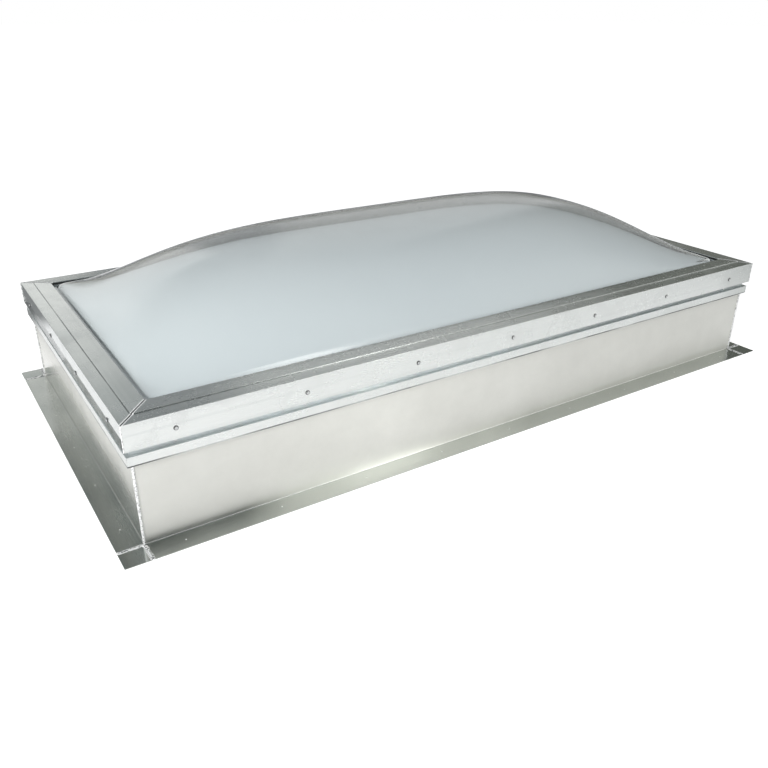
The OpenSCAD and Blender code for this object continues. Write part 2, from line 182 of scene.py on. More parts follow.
class Shader(Nodes):
    """A principled material, with short calls for the textures that drive it."""

    def __init__(self, name, **values):
        self.material = bpy.data.materials.new(name)
        self.material.use_nodes = True
        super().__init__(self.material.node_tree)
        self.bsdf = self.tree.nodes["Principled BSDF"]
        self.place = self.node("ShaderNodeTexCoord").outputs["Object"]
        self.drive(**values)

    def drive(self, **sockets):
        for socket, value in sockets.items():
            self.feed(self.bsdf.inputs[socket.replace("_", " ")], value)
        return self.material

    def noise(self, scale, stretch=(1, 1, 1), detail=3.0, rough=0.5, distortion=0.0):
        moved = self.node("ShaderNodeMapping", Vector=self.place, Scale=stretch)
        made = self.node(
            "ShaderNodeTexNoise", Vector=moved.outputs[0], Scale=scale, Detail=detail,
            Roughness=rough, Distortion=distortion,
        )
        return made.outputs["Fac"]

    def lines(self, run, slow, quick, detail, rough):
        """Noise drawn out into lines along an axis."""
        stretch = (slow, quick, quick) if run == "x" else (quick, slow, quick)
        return self.noise(1.0, stretch, detail, rough)

    def spots(self, scale):
        return self.node("ShaderNodeTexVoronoi", Vector=self.place, Scale=scale).outputs["Distance"]

    def grain_along(self, run, amount):
        """Spread reflections across the lines left by rolling or drawing along an axis."""
        way = self.node("ShaderNodeCombineXYZ", X=1.0 if run == "x" else 0.0, Y=1.0 if run == "y" else 0.0)
        self.drive(Tangent=way.outputs[0], Anisotropic=amount, Anisotropic_Rotation=0.25)

    def axis(self, name):
        return self.node("ShaderNodeSeparateXYZ", Vector=self.place).outputs[name]

    def upright(self):
        """1 on the upright faces below the top strips."""
        return self.remap(self.axis("Z"), STRIP_Z - 3 * MM, STRIP_Z, 1.0, 0.0)

    def edge_on(self):
        """0 where a surface faces the eye, 1 where it is seen edge on."""
        return self.node("ShaderNodeLayerWeight", Blend=0.5).outputs["Facing"]

    def between(self, value, low, high, soft):
        """1 where a value lies between two limits, with soft ends."""
        rise = self.remap(value, low - soft, low + soft)
        return self.math("MULTIPLY", rise, self.remap(value, high - soft, high + soft, 1.0, 0.0))

    def bump(self, height, distance, strength=1.0, below=None):
        made = self.node("ShaderNodeBump", Height=height, Distance=distance, Strength=strength)
        if below is not None:
            self.feed(made.inputs["Normal"], below)
        return made.outputs[0]

    def surface(self, shader):
        self.feed(self.tree.nodes["Material Output"].inputs["Surface"], shader.outputs[0])


def sheet_metal(name, run):
    """Mill-finish sheet: rolling lines along run, soft dents, cloudy oxide on the wall, painted shade on
    the flange, a painted highlight along the fold.
    """
    long_side = run == "x"
    spread, etch = (0.95, 0.6) if long_side else (0.30, 0.08)
    sheen = (0.34, 0.41) if long_side else (0.15, 0.21)
    chalky, lying_rough = (0.47, 0.5) if long_side else (0.95, 1.3)
    flange_shade_grey, fold_highlight_white = (0.40, 0.5) if long_side else (0.22, 0.9)
    s = Shader(name)
    s.grain_along(run, spread)
    lines = s.lines(run, 1.2, 260, 4.0, 0.6)
    cloud = s.noise(5.0, detail=5.0, rough=0.62)
    dents = s.noise(2.3, detail=1.5, rough=0.4)
    marks = s.noise(46.0, (1, 1, 2.2), detail=6.0, rough=0.7, distortion=1.5)
    smudge = s.remap(marks, 0.60, 0.74)
    z = s.axis("Z")
    # painted shade: the flat flange faces are painted a darker grey than the wall of the same sheet
    flange_shade = s.remap(z, SHEET_T + 0.2 * MM, SHEET_T + 1.5 * MM, flange_shade_grey, 0.0)
    # painted highlight: a thin bright line along the fold, also made less metallic
    fold_highlight = s.between(z, SHEET_T + 0.9 * MM, SHEET_T + 2.4 * MM, 0.3 * MM)
    tone = s.mix(s.remap(cloud, 0.3, 0.7), (0.675, 0.675, 0.635, 1), (0.755, 0.755, 0.715, 1))
    tone = s.mix(s.math("MULTIPLY", smudge, 0.22), tone, (0.60, 0.60, 0.575, 1))
    tone = s.mix(flange_shade, tone, (0.42, 0.48, 0.48, 1))
    tone = s.mix(s.math("MULTIPLY", fold_highlight, fold_highlight_white), tone, (0.95, 0.95, 0.93, 1))
    rough = s.math("ADD", s.remap(cloud, 0.3, 0.7, *sheen), s.remap(lines, 0.3, 0.7, -0.03, 0.03))
    rough = s.math("ADD", rough, s.math("MULTIPLY", smudge, 0.10))
    rough = s.math("MULTIPLY", rough, s.remap(z, SHEET_T + 0.2 * MM, SHEET_T + 2 * MM, lying_rough, 1.0))
    if not long_side:
        rough = s.math("ADD", rough, s.remap(z, 50 * MM, 220 * MM, 0.0, 0.20))
    # the foot of the wall is bare metal, and looks bare further up where other metal mirrors it
    mirrored = s.node("ShaderNodeLightPath").outputs["Is Glossy Ray"]
    foot_z = s.math("SUBTRACT", z, s.math("MULTIPLY", mirrored, 30 * MM))
    metal = s.remap(foot_z, 10 * MM, 32 * MM, 1.0, chalky)
    metal = s.math("SUBTRACT", metal, s.math("MULTIPLY", fold_highlight, 0.25))
    fine = s.bump(lines, 0.05 * MM, etch, s.bump(dents, 6 * MM))
    return s.drive(Base_Color=tone, Roughness=rough, Normal=fine, Metallic=metal)


def extrusion_metal(name, run):
    """Drawn aluminium, with its shader: die lines along run, a satin skin and faint water marks; on long
    runs, painted shade on the upright faces.
    """
    s = Shader(name)
    s.grain_along(run, 0.90 if run == "x" else 0.30)
    lines = s.lines(run, 0.9, 520, 3.0, 0.6)
    streaks = s.lines(run, 0.4, 50, 3.0, 0.55)
    cloud = s.noise(7.0, detail=5.0, rough=0.6)
    marks = s.noise(9.0, detail=3.0, rough=0.6, distortion=0.6)
    dents = s.noise(3.4, detail=1.5, rough=0.4)
    stain = s.remap(marks, 0.50, 0.70)
    tone = s.mix(s.remap(cloud, 0.3, 0.7), (0.73, 0.75, 0.735, 1), (0.80, 0.815, 0.805, 1))
    tone = s.mix(s.math("MULTIPLY", stain, 0.12), tone, (0.62, 0.635, 0.62, 1))
    tone = s.mix(s.remap(streaks, 0.48, 0.72, 0.0, 0.36), tone, (0.56, 0.59, 0.58, 1))
    if run == "x":
        x = s.axis("X")
        # painted shade on the upright faces: darker from near the left end on, most at the right end
        upright_shade = s.math("ADD", s.remap(x, -1.0, -0.6, 0.0, 0.30), s.remap(x, 1.02, 1.24, 0.0, 0.45))
        tone = s.mix(s.math("MULTIPLY", s.upright(), upright_shade), tone, (0.50, 0.525, 0.51, 1))
    rough = s.math("ADD", s.remap(cloud, 0.3, 0.7, 0.22, 0.30), s.remap(lines, 0.3, 0.7, -0.01, 0.015))
    rough = s.math("ADD", rough, s.math("MULTIPLY", stain, 0.05))
    metal = s.remap(stain, 0.0, 1.0, 1.0, 0.97)
    wavy = s.bump(dents, 1.8 * MM)
    drawn = s.bump(streaks, 0.03 * MM, 0.5, wavy)
    fine = s.bump(lines, 0.008 * MM, 0.12, drawn)
    return s, tone, rough, metal, fine


def retainer_metal(name, run):
    """Retainer extrusion: painted shade in the mitre slots and along the step, painted highlights on the
    mitre lips and the step edge; short skirts turn in low down and carry painted shade.
    """
    s, tone, rough, metal, fine = extrusion_metal(name, run)
    z = s.axis("Z")
    past_l = s.math("SUBTRACT", s.math("ABSOLUTE", s.axis("X")), HALF_L)
    past_w = s.math("SUBTRACT", s.math("ABSOLUTE", s.axis("Y")), HALF_W)
    off_mitre = s.math("ABSOLUTE", s.math("SUBTRACT", past_l, past_w))
    # painted highlight on the mitre lips, brighter, rougher and less metallic, and painted shade in the
    # slot between them
    ragged = s.math("ADD", off_mitre, s.remap(s.noise(170.0), 0.3, 0.7, -0.7 * MM, 0.7 * MM))
    on_top = s.remap(z, STRIP_Z - 1.2 * MM, STRIP_Z - 0.8 * MM)
    mitre_highlight = s.math("MULTIPLY", s.remap(ragged, *MITRE_HIGHLIGHT_EDGE, 1.0, 0.0), on_top)
    slot = s.math("MULTIPLY", s.remap(off_mitre, *MITRE_SHADE_EDGE, 1.0, 0.0), on_top)
    reach = past_w if run == "x" else past_l
    # painted shade, patchy, along the foot of the step on the top strip, and a painted highlight on the
    # edge just inside it
    patchy = s.remap(s.noise(5.0, detail=3.0), 0.35, 0.6, 0.45, 0.95)
    step_shade = s.math("MULTIPLY", s.between(reach, STEP_OUT + 0.2 * MM, STEP_OUT + 2.4 * MM, 0.3 * MM), patchy)
    step_highlight = s.between(reach, STEP_OUT - 2.2 * MM, STEP_OUT - 0.1 * MM, 0.3 * MM)
    tone = s.mix(s.math("MULTIPLY", step_shade, on_top), tone, (0.16, 0.18, 0.18, 1))
    tone = s.mix(s.math("MULTIPLY", s.math("MULTIPLY", step_highlight, on_top), 0.6), tone, (0.95, 0.96, 0.955, 1))
    tone = s.mix(mitre_highlight, tone, (0.97, 0.98, 0.975, 1))
    tone = s.mix(slot, tone, (0.07, 0.075, 0.075, 1))
    rough = s.math("ADD", rough, s.math("MULTIPLY", mitre_highlight, 0.14))
    metal = s.math("SUBTRACT", metal, s.math("MULTIPLY", mitre_highlight, 0.70))
    if run == "y":
        # painted shade: the upright faces of the short runs are darker
        upright = s.upright()
        tone = s.mix(s.math("MULTIPLY", upright, 0.45), tone, (0.50, 0.54, 0.54, 1))
        rough = s.math("SUBTRACT", rough, s.math("MULTIPLY", upright, 0.09))
        # painted shade at the foot of the short skirts, stronger towards the back
        low_down = s.remap(z, SKIRT_Z + 22 * MM, SKIRT_Z + 38 * MM, 1.0, 0.0)
        skirt_foot_shade = s.math("MULTIPLY", low_down, s.remap(s.axis("Y"), -0.45, 0.10, 0.10, 0.80))
        tone = s.mix(skirt_foot_shade, tone, (0.15, 0.185, 0.18, 1))
        turned_in = s.remap(z, SKIRT_Z, SKIRT_Z + 34 * MM)
        fine = s.bump(turned_in, 5.4 * MM, 1.0, fine)
    return s.drive(Base_Color=tone, Roughness=rough, Metallic=metal, Normal=fine)


def frame_metal(name, run):
    """Frame extrusion with a painted bluish reflection in the recess under the skirt, painted shade there
    towards the right on long runs, and painted shade as a broken dark line on its lower edge.
    """
    s, tone, rough, metal, fine = extrusion_metal(name, run)
    z = s.axis("Z")
    # painted shade: a broken dark line along the lower edge of the band
    patchy = s.remap(s.noise(3.1, (1, 1, 0.1), detail=3.0), 0.40, 0.56, 0.25, 1.0)
    band_edge_shade = s.math("MULTIPLY", s.between(z, BAND_Z - 1 * MM, BAND_Z + 3.4 * MM, 0.7 * MM), patchy)
    # painted bluish reflection in the recess under the skirt, mottled and made nearly non-metallic
    recess_mottle = s.remap(s.noise(14.0, detail=5.0, rough=0.6), 0.3, 0.7, 0.25, 0.60)
    recess_reflection = s.math("MULTIPLY", s.between(z, LEDGE_Z - 0.3 * MM, SKIRT_Z + 1 * MM, 0.2 * MM), recess_mottle)
    tone = s.mix(recess_reflection, tone, (0.72, 0.81, 0.84, 1))
    if run == "x":
        # painted shade: the recess of the long runs darker towards the right
        shaded = s.math("MULTIPLY", recess_reflection, s.remap(s.axis("X"), -0.1, 0.5, 0.0, 0.8))
        tone = s.mix(shaded, tone, (0.30, 0.33, 0.33, 1))
    tone = s.mix(band_edge_shade, tone, (0.16, 0.17, 0.17, 1))
    rough = s.math("ADD", rough, s.math("MULTIPLY", s.math("MAXIMUM", recess_reflection, band_edge_shade), 0.22))
    metal = s.math("SUBTRACT", metal, s.math("MULTIPLY", recess_reflection, 0.85))
    return s.drive(Base_Color=tone, Roughness=rough, Metallic=metal, Normal=fine)


def weld_metal():
    """Fresh aluminium weld: bright, granular, with dark speckle that is stronger low down."""
    s = Shader("weld_metal", Metallic=0.4)
    grain = s.noise(900.0, detail=3.0, rough=0.6)
    # dark speckle by noise, stronger low down
    dark_speckle = s.remap(s.noise(210.0, detail=2.0, rough=0.6), 0.50, 0.57)
    dark_speckle = s.math("MULTIPLY", dark_speckle, s.remap(s.axis("Z"), 5 * MM, 14 * MM, 1.0, 0.5))
    tone = s.mix(dark_speckle, (0.93, 0.935, 0.93, 1), (0.05, 0.06, 0.06, 1))
    rough = s.remap(grain, 0.3, 0.7, 0.30, 0.52)
    return s.drive(Base_Color=tone, Roughness=rough, Normal=s.bump(grain, 0.25 * MM, 0.8))


def fixing_metal():
    """Plated steel with turning marks and a little dulling."""
    s = Shader("fixing_metal", Metallic=1.0)
    grain = s.noise(1400.0, detail=3.0)
    patch = s.noise(260.0, detail=4.0, rough=0.6)
    tone = s.mix(s.remap(patch, 0.35, 0.65), (0.66, 0.67, 0.68, 1), (0.82, 0.83, 0.83, 1))
    rough = s.remap(patch, 0.3, 0.7, 0.22, 0.40)
    return s.drive(Base_Color=tone, Roughness=rough, Normal=s.bump(grain, 0.04 * MM))


def rubber(name, dark, light):
    """Cured rubber: nearly black, dusty, with a fine moulded skin."""
    s = Shader(name)
    grain = s.noise(1100.0, detail=3.0)
    dust = s.noise(38.0, detail=5.0, rough=0.65)
    tone = s.mix(s.remap(dust, 0.4, 0.7), dark, light)
    rough = s.remap(dust, 0.3, 0.7, 0.52, 0.74)
    return s.drive(Base_Color=tone, Roughness=rough, Normal=s.bump(grain, 0.06 * MM))


def spacer_foam():
    """Closed-cell strip: light grey, matt, with open pores on its cut face, bumped and with painted shade
    in them.
    """
    s = Shader("spacer_foam")
    pores = s.spots(420.0)
    dust = s.noise(30.0, detail=5.0, rough=0.65)
    # painted shade: the pores are painted darker towards their centres
    tone = s.mix(s.remap(pores, 0.05, 0.35, 1.0, 0.0), (0.62, 0.65, 0.65, 1), (0.50, 0.53, 0.53, 1))
    rough = s.remap(dust, 0.3, 0.7, 0.70, 0.88)
    return s.drive(Base_Color=tone, Roughness=rough, Normal=s.bump(pores, 0.3 * MM))


def white_acrylic():
    """Milky acrylic sheet: cool white, glossy, with the slow ripple of a blown sheet and painted shade
    where it is seen edge on.
    """
    s = Shader("white_acrylic", IOR=ACRYLIC_IOR, Specular_IOR_Level=0.25)
    slow = s.noise(1.6, detail=2.0, rough=0.4)
    haze = s.noise(22.0, detail=5.0, rough=0.6)
    tone = s.mix(s.remap(slow, 0.3, 0.7), (0.83, 0.87, 0.885, 1), (0.87, 0.905, 0.915, 1))
    # painted shade: darker where the sheet is seen edge on
    tone = s.mix(s.remap(s.edge_on(), 0.90, 0.98), tone, (0.34, 0.36, 0.355, 1))
    rough = s.remap(haze, 0.3, 0.7, 0.34, 0.46)
    return s.drive(Base_Color=tone, Roughness=rough, Normal=s.bump(slow, 2 * MM))


def clear_acrylic():
    """Clear acrylic sheet with painted shade: greyer seen edge on and much darker on its far side; lamps
    and diffuse light pass straight through.
    """
    s = Shader("clear_acrylic", IOR=ACRYLIC_IOR, Transmission_Weight=1.0)
    slow = s.noise(1.8, detail=2.0, rough=0.4)
    dust = s.noise(60.0, detail=6.0, rough=0.65)
    edge_on = s.edge_on()
    # painted shade: the tint greys as the sheet turns edge on, and grows far darker where a ray has crossed
    # the near sheet
    near = s.ramp(edge_on, [
        (0.20, (0.79, 0.82, 0.825)), (0.70, (0.78, 0.805, 0.805)), (1.00, (0.72, 0.74, 0.73)),
    ])
    far = s.ramp(edge_on, [
        (0.68, (0.05, 0.05, 0.045)), (0.78, (0.12, 0.122, 0.111)), (0.86, (0.29, 0.294, 0.276)),
        (0.93, (0.50, 0.508, 0.485)), (1.00, (0.62, 0.63, 0.61)),
    ])
    path = s.node("ShaderNodeLightPath")
    tone = s.mix(s.math("GREATER_THAN", path.outputs["Transmission Depth"], 1.5), near, far)
    rough = s.remap(dust, 0.3, 0.75, 0.010, 0.018)
    s.drive(Base_Color=tone, Roughness=rough, Normal=s.bump(slow, 1 * MM))
    passing = s.math("MAXIMUM", path.outputs["Is Shadow Ray"], path.outputs["Is Diffuse Ray"])
    through = s.node("ShaderNodeBsdfTransparent", Color=(0.97, 0.98, 0.98, 1))
    s.surface(s.node("ShaderNodeMixShader", _0=passing, _1=s.bsdf.outputs[0], _2=through.outputs[0]))
    return s.material


SHEET = {run: sheet_metal(f"curb_sheet_{run}", run) for run in "xy"}
FRAME = {run: frame_metal(f"frame_extrusion_{run}", run) for run in "xy"}
RETAINER = {run: retainer_metal(f"retainer_extrusion_{run}", run) for run in "xy"}
WELD = weld_metal()
STEEL = fixing_metal()
GASKET = rubber("gasket_rubber", (0.012, 0.012, 0.012, 1), (0.03, 0.03, 0.029, 1))
WASHER = rubber("washer_rubber", (0.05, 0.05, 0.05, 1), (0.09, 0.09, 0.088, 1))
FOAM = spacer_foam()
WHITE = white_acrylic()
CLEAR = clear_acrylic()


def dress(node, material):
    """Give a CAD node its material."""
    for place in nodes[node].material_slots:
        place.material = material


for side in SIDES:
    run = "x" if side in ("front", "back") else "y"
    dress(f"curb_wall_{side}", SHEET[run])
    dress(f"frame_rail_{side}", FRAME[run])
    dress(f"retainer_{side}", RETAINER[run])
for corner in CORNERS:
    dress(f"flange_corner_{corner}", SHEET["x"])
dress("bedding_gasket", GASKET)
dress("clamp_gasket", GASKET)
dress("spacer_gasket", FOAM)


def piece(name, points, faces, material, slot, sharp=35):
    """A smooth mesh fixed to the part, with hard edges where faces turn by more than sharp degrees."""
    mesh = bpy.data.meshes.new(name)
    mesh.from_pydata([tuple(p) for p in points], [], [tuple(f) for f in faces])
    mesh.validate()
    mesh.polygons.foreach_set("use_smooth", [True] * len(mesh.polygons))
    mesh.set_sharp_from_angle(angle=math.radians(sharp))
    mesh.materials.append(material)
    made = bpy.data.objects.new(name, mesh)
    bpy.context.scene.collection.objects.link(made)
    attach(made, "root")
    return made


def joined(parts):
    """Several (points, faces) as one."""
    points, faces, base = [], [], 0
    for part_points, part_faces in parts:
        points.append(np.asarray(part_points, float))
        faces += [[base + k for k in face] for face in part_faces]
        base += len(part_points)
    return np.concatenate(points), faces


def grid_faces(rows, columns, wrap=False, flip=False):
    """Quads over a grid of rows of points; wrap joins the last column to the first."""
    found = []
    for r in range(rows - 1):
        for c in range(columns if wrap else columns - 1):
            d = (c + 1) % columns
            face = [r * columns + c, r * columns + d, (r + 1) * columns + d, (r + 1) * columns + c]
            found.append(face[::-1] if flip else face)
    return found


def closed_sheet(upper, lower, rows, columns, flip=False):
    """Two grids of points as one sheet, closed by a strip round the edge."""
    count = rows * columns
    faces = grid_faces(rows, columns, flip=flip)
    faces += [[k + count for k in face] for face in grid_faces(rows, columns, flip=not flip)]
    rim = list(range(columns - 1))
    rim += [r * columns + columns - 1 for r in range(rows - 1)]
    rim += [(rows - 1) * columns + c for c in range(columns - 1, 0, -1)]
    rim += [r * columns for r in range(rows - 1, 0, -1)]
    for p, q in zip(rim, rim[1:] + rim[:1]):
        faces.append([p, q, q + count, p + count] if flip else [q, p, p + count, q + count])
    return np.concatenate([upper, lower]), faces


def billow(u, v):
    """Height of the blown skin from 0 at the rim to 1 at the crown, for u and v from -1 to 1."""
    t = (1 - np.abs(u) ** FULL_L) * (1 - np.abs(v) ** FULL_W)
    return (np.sqrt(t * t + RIM_SOFT ** 2) - RIM_SOFT) / (math.sqrt(1 + RIM_SOFT ** 2) - RIM_SOFT)


def foot_inset(x, y, a, b):
    """Distance inside the rounded foot line of a dome with half sizes a and b."""
    qx = np.abs(x) - a + BASE_R
    qy = np.abs(y) - b + BASE_R
    return BASE_R - np.where((qx > 0) & (qy > 0), np.hypot(qx, qy), np.maximum(qx, qy))


def dome_lines(half, cells):
    """Grid lines across a dome, closer together towards its foot, and one more at each cut edge."""
    over_dome = -half * np.cos(np.linspace(0, math.pi, cells))
    return np.concatenate([[-half - RIM_W], over_dome, [half + RIM_W]])


def blown_sheet(node, thick, cells_l=190, cells_w=110):
    """The dome of a CAD node on a fine grid: upper face, lower face and cut edge."""
    low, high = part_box(node)
    top = low.z + thick
    rise = high.z - top
    a, b = high.x - RIM_W, high.y - RIM_W
    x, y = np.meshgrid(dome_lines(a, cells_l), dome_lines(b, cells_w))
    inset = foot_inset(x, y, a, b)
    turn = TURN_H * (1 - np.exp(-(inset / TURN_W) ** 2))
    swell = (rise - TURN_H) * billow(np.clip(x / a, -1, 1), np.clip(y / b, -1, 1))
    z = top + np.where(inset > 0, turn + swell, 0)
    upper = np.stack([x, y, z], -1).reshape(-1, 3)
    return closed_sheet(upper, upper - [0, 0, thick], *x.shape)


inner = piece("inner_dome_skin", *blown_sheet("inner_dome", INNER_T), WHITE, "white_acrylic")
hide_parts("inner_dome")
outer = piece("outer_dome_skin", *blown_sheet("outer_dome", OUTER_T), CLEAR, "clear_acrylic")
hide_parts("outer_dome")


def wobble(t, seed, pitch):
    """Smooth uneven value, mostly between -1 and 1, along a weld: five waves with scattered phases."""
    k = np.arange(1, 6)
    phase = np.modf(np.sin(seed * 12.9898 + k * 78.233) * 43758.5453)[0] * 2 * math.pi
    waves = np.sin(np.multiply.outer(np.asarray(t) / pitch, 0.37 * k) + phase)
    return waves.sum(-1) / 3.2


def scallop(t, pitch):
    """Height of the overlapping ripples of a weld bead, from 0 to 1."""
    phase = np.mod(t / pitch, 1.0)
    return np.sqrt(np.clip(1 - (1.6 * phase - 0.6) ** 2, 0, 1))


def flat_bead(length, width, height, pitch, seed):
    """A bead along X from the origin, lying on z = 0, with crescent ripples and rounded ends."""
    rows, columns = int(length / pitch * 9), 19
    t = np.linspace(0, length, rows)[:, None]
    s = np.linspace(-1, 1, columns)[None, :]
    end = np.minimum(t, length - t) / (0.45 * width)
    round_off = np.sqrt(np.clip(1 - (1 - np.clip(end, 0, 1)) ** 2, 0, 1))
    uneven = (0.88 + 0.12 * wobble(t[:, 0], seed, pitch))[:, None]
    half = width / 2 * uneven * (0.55 + 0.45 * round_off)
    stray = 0.12 * pitch * wobble(t[:, 0], seed + 3, pitch)[:, None]
    ripple = scallop(t + 0.32 * width * s ** 2 + stray, pitch)
    z = height * (1 - s ** 2) ** 0.75 * (0.45 + 0.55 * ripple) * round_off
    upper = np.stack([t + 0 * s, half * s, z], -1).reshape(-1, 3)
    lower = upper * [1, 1, 0] - [0, 0, 0.1 * MM]
    return closed_sheet(upper, lower, rows, columns, flip=True)


def corner_seam(radius, low, high, pitch, seed):
    """An upright bead round the outer corner at the origin, whose walls lie at x < 0 and y < 0."""
    rows, columns = int((high - low) / pitch * 7), 25
    z = np.linspace(low, high, rows)[:, None]
    turn = np.linspace(-0.5 * math.pi, math.pi, columns)[None, :]
    across = (turn - 0.25 * math.pi) / (0.75 * math.pi)
    uneven = 1 + 0.08 * wobble(z[:, 0], seed, pitch)[:, None]
    ripple = scallop(z + 0.55 * radius * across ** 2, pitch)
    end = np.clip(np.minimum(z - low, high - z) / radius, 0, 1)
    r = radius * (0.68 + 0.24 * ripple) * uneven * (0.75 + 0.25 * np.sqrt(end)) * (1 - 0.12 * across ** 2)
    r = np.minimum(r, 1.04 * radius)
    skin = np.stack([r * np.cos(turn), r * np.sin(turn), z + 0 * turn], -1)
    core = np.concatenate([np.full((rows, 1, 2), -0.1 * MM), z[:, :, None]], -1)
    points = np.concatenate([skin, core], 1).reshape(-1, 3)
    columns += 1
    faces = grid_faces(rows, columns, wrap=True)
    faces.append(list(range(columns))[::-1])
    faces.append([(rows - 1) * columns + c for c in range(columns)])
    return points, faces


def foot_mound(radius, height):
    """The lump of weld where the seam and the two beads meet."""
    rows, columns = 9, 33
    share = np.linspace(0, 1, rows)[:, None]
    turn = np.linspace(0, 2 * math.pi, columns, endpoint=False)[None, :]
    r = radius * share * (1 + 0.06 * np.sin(3 * turn + 1.0) + 0.04 * np.sin(7 * turn))
    z = height * (1 - share ** 2) ** 0.6 * (1 + 0.10 * np.sin(5 * turn + 6 * share))
    points = np.stack([r * np.cos(turn), r * np.sin(turn), z + 0 * turn], -1).reshape(-1, 3)
    return points, grid_faces(rows, columns, wrap=True)


def turned(part, degrees, shift):
    """A (points, faces) turned about Z, then moved."""
    points, faces = part
    a = math.radians(degrees)
    spin = np.array([[math.cos(a), -math.sin(a), 0], [math.sin(a), math.cos(a), 0], [0, 0, 1]])
    return np.asarray(points) @ spin.T + np.asarray(shift), faces


BEAD_START = BEND_R + JOINT
BEAD_L = FLANGE_W - BEAD_START
for number, (corner, (sx, sy, turn)) in enumerate(CORNERS.items()):
    along = flat_bead(BEAD_L, BEAD_W, BEAD_H, BEAD_PITCH, number)
    across = flat_bead(BEAD_L, BEAD_W, BEAD_H, BEAD_PITCH, number + ACROSS_SEED)
    welds = joined([
        turned(along, 0, (BEAD_START, 0, SHEET_T)),
        turned(across, 90, (0, BEAD_START, SHEET_T)),
        turned(foot_mound(MOUND_R, MOUND_H), 0, (MOUND_OFF, MOUND_OFF, SHEET_T)),
        corner_seam(SEAM_R, SHEET_T + BEND_R, LEDGE_Z - FRAME_T, SEAM_PITCH, number + SEAM_SEED),
    ])
    welds = turned(welds, turn, (sx * HALF_L, sy * HALF_W, 0))
    seam = piece(f"corner_bead_{corner}", *welds, WELD, "weld_metal", WELD_SHARP)
    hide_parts(f"corner_weld_{corner}")
    thin = corner_seam(FINE_R, SKIRT_Z, SKIRT_Z + SKIRT_H, FINE_PITCH, number + FINE_SEED)
    thin = turned(thin, turn, (sx * (HALF_L + SKIRT_OUT), sy * (HALF_W + SKIRT_OUT), 0))
    fine = piece(f"retainer_bead_{corner}", *thin, WELD, "weld_metal", WELD_SHARP)
    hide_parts(f"retainer_weld_{corner}")


def lathe(profile, steps=36):
    """A (radius, reach) profile in millimetres turned about the reach axis."""
    turn = np.linspace(0, 2 * math.pi, steps, endpoint=False)
    points = [(r * math.cos(a) * MM, r * math.sin(a) * MM, o * MM) for r, o in profile for a in turn]
    return np.array(points), grid_faces(len(profile), steps, wrap=True)


def screw_head(base, radius, height):
    """Pan head with a rounded shoulder and a cross recess, on a polar grid, in millimetres."""
    rows, columns = 26, 64
    over_crown, down_side = 0.86, 0.14
    arm, arm_soft = 0.58 * radius, 0.5
    width, width_soft = 0.13 * radius, 0.25
    share = np.linspace(0.0, 1.0, rows)[:, None]
    turn = np.linspace(0, 2 * math.pi, columns, endpoint=False)[None, :]
    r = radius * np.minimum(share / over_crown, 1.0)
    x, y = r * np.cos(turn), r * np.sin(turn)
    crown = base + height * (1 - 0.30 * (r / radius) ** 2 - 0.38 * (r / radius) ** 10) + 0 * turn
    drop = np.clip((share - over_crown) / down_side, 0, 1)
    z = crown * (1 - drop) + base * drop

    def bar(along, aside):
        reach = np.clip((arm - np.abs(along)) / arm_soft, 0, 1)
        return reach * np.clip((width - np.abs(aside)) / width_soft + 0.5, 0, 1)

    cut = np.maximum(bar(x, y), bar(y, x))
    z = z - 0.5 * height * cut * (drop == 0)
    points = np.stack([x, y, z], -1).reshape(-1, 3) * MM
    return points, grid_faces(rows, columns, wrap=True)


def along_side(part, side, height, seed):
    """Copies of a fixing at every screw place of a side, each turned by its own angle."""
    (nx, ny), (ux, uy), half, face, count = SIDES[side]
    points, faces = part
    copies = []
    for i in range(count):
        along = -half + SCREW_END + i * (2 * half - 2 * SCREW_END) / (count - 1)
        a = FIXING_TURN * i + seed
        x = points[:, 0] * math.cos(a) - points[:, 1] * math.sin(a) + along
        z = points[:, 0] * math.sin(a) + points[:, 1] * math.cos(a) + height
        out = points[:, 2] + face
        copies.append((np.stack([x * ux + out * nx, x * uy + out * ny, z], -1), faces))
    return joined(copies)


SCREW = joined([lathe(SCREW_SHANK), screw_head(HEAD_BASE, HEAD_R, HEAD_H)])
for number, side in enumerate(SIDES):
    row = along_side(SCREW, side, SCREW_Z, number)
    screws = piece(f"pan_screws_{side}", *row, STEEL, "fixing_metal")
    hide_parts(f"retainer_screws_{side}")
    row = along_side(lathe(WASHER_RING), side, SCREW_Z, number)
    washers = piece(f"seal_washers_{side}", *row, WASHER, "washer_rubber")
    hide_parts(f"retainer_washers_{side}")
    row = along_side(lathe(RIVET_BODY), side, RIVET_Z, number)
    rivets = piece(f"blind_rivets_{side}", *row, STEEL, "fixing_metal")
    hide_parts(f"frame_rivets_{side}")


